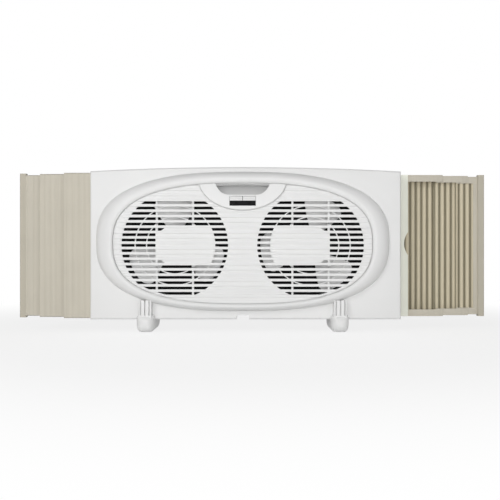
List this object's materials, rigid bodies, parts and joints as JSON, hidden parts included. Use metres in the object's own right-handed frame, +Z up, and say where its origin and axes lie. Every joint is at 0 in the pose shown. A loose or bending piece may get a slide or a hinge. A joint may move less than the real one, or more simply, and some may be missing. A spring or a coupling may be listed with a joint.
{
  "type": "window fan",
  "caption": "Reversible window fan with two propellers behind an oval slatted grille, telescoping side panels, a recessed hand grip and slide switches, on feet.",
  "frame": {"origin": "on the surface under the soles, at the middle of the overall box", "axes": "+Z up, -Y toward the room side that carries the controls, +X to the right as seen from the room"},
  "size_m": [0.9618, 0.124, 0.334],
  "materials": {
    "white_plastic": "fine satin moulded white plastic",
    "blade_plastic": "smooth white moulded plastic",
    "cream_plastic": "slightly yellowed white plastic",
    "beige_plastic": "beige extruded plastic, faintly lined",
    "black_plastic": "black moulded plastic",
    "charcoal_plastic": "charcoal moulded plastic",
    "screen_mesh": "fine dark insect mesh",
    "steel": "zinc-plated steel",
    "motor_steel": "grey pressed steel",
    "bronze": "sintered bronze"
  },
  "bodies": {
    "housing": {"front_shell": "white_plastic", "rear_shell": "white_plastic", "front_grille": "white_plastic", "rear_grille": "white_plastic", "insect_screen": "screen_mesh", "control_bezel": "white_plastic", "switch_plate": "black_plastic", "speed_switch": "black_plastic", "direction_switch": "black_plastic", "fan_baffle": "charcoal_plastic", "motor_capacitor": "black_plastic", "cord_inlet": "black_plastic", "left_panel_guide": "cream_plastic", "right_panel_guide": "cream_plastic", "left_motor": "motor_steel", "left_front_bushing": "bronze", "left_rear_bushing": "bronze", "left_motor_screw_1": "steel", "left_motor_screw_2": "steel", "right_motor": "motor_steel", "right_front_bushing": "bronze", "right_rear_bushing": "bronze", "right_motor_screw_1": "steel", "right_motor_screw_2": "steel", "housing_screw_1": "steel", "housing_screw_2": "steel", "housing_screw_3": "steel", "housing_screw_4": "steel"},
    "left_fan": {"left_rotor": "blade_plastic", "left_shaft": "steel", "left_hub_clip": "steel"},
    "left_inner_leaf": {"left_panel_inner_leaf": "beige_plastic"},
    "left_middle_leaf": {"left_panel_middle_leaf": "beige_plastic"},
    "left_outer_leaf": {"left_panel_outer_leaf": "beige_plastic"},
    "left_foot": {"left_foot": "white_plastic"},
    "right_fan": {"right_rotor": "blade_plastic", "right_shaft": "steel", "right_hub_clip": "steel"},
    "right_inner_leaf": {"right_panel_inner_leaf": "beige_plastic"},
    "right_middle_leaf": {"right_panel_middle_leaf": "beige_plastic"},
    "right_outer_leaf": {"right_panel_outer_leaf": "beige_plastic"},
    "right_foot": {"right_foot": "white_plastic"},
    "speed_slider": {"speed_slider": "white_plastic"},
    "direction_slider": {"direction_slider": "white_plastic"}
  },
  "joints": [
    {"name": "left_fan_spin", "type": "hinge", "parent": "housing", "child": "left_fan", "pos_m": [-0.1594, 0, 0.175], "axis": [0, 1, 0], "continuous": true},
    {"name": "right_fan_spin", "type": "hinge", "parent": "housing", "child": "right_fan", "pos_m": [0.1126, 0, 0.175], "axis": [0, 1, 0], "continuous": true},
    {"name": "left_inner_leaf_slide", "type": "slide", "parent": "housing", "child": "left_inner_leaf", "axis": [-1, 0, 0], "range_m": [-0.019, 0.056]},
    {"name": "left_middle_leaf_slide", "type": "slide", "parent": "left_inner_leaf", "child": "left_middle_leaf", "axis": [-1, 0, 0], "range_m": [-0.05, 0.003]},
    {"name": "left_outer_leaf_slide", "type": "slide", "parent": "left_middle_leaf", "child": "left_outer_leaf", "axis": [-1, 0, 0], "range_m": [-0.03, 0.0015]},
    {"name": "right_inner_leaf_slide", "type": "slide", "parent": "housing", "child": "right_inner_leaf", "axis": [1, 0, 0], "range_m": [-0.073, 0.0015]},
    {"name": "right_middle_leaf_slide", "type": "slide", "parent": "right_inner_leaf", "child": "right_middle_leaf", "axis": [1, 0, 0], "range_m": [-0.0525, 0.001]},
    {"name": "right_outer_leaf_slide", "type": "slide", "parent": "right_middle_leaf", "child": "right_outer_leaf", "axis": [1, 0, 0], "range_m": [-0.0205, 0.011]},
    {"name": "speed_slider_slide", "type": "slide", "parent": "housing", "child": "speed_slider", "axis": [0, 0, -1], "range_m": [0, 0.009]},
    {"name": "direction_slider_slide", "type": "slide", "parent": "housing", "child": "direction_slider", "axis": [0, 0, -1], "range_m": [0, 0.009]},
    {"name": "left_foot_slide", "type": "slide", "parent": "housing", "child": "left_foot", "axis": [0, 0, -1], "range_m": [0, 0.018]},
    {"name": "right_foot_slide", "type": "slide", "parent": "housing", "child": "right_foot", "axis": [0, 0, -1], "range_m": [0, 0.018]}
  ]
}
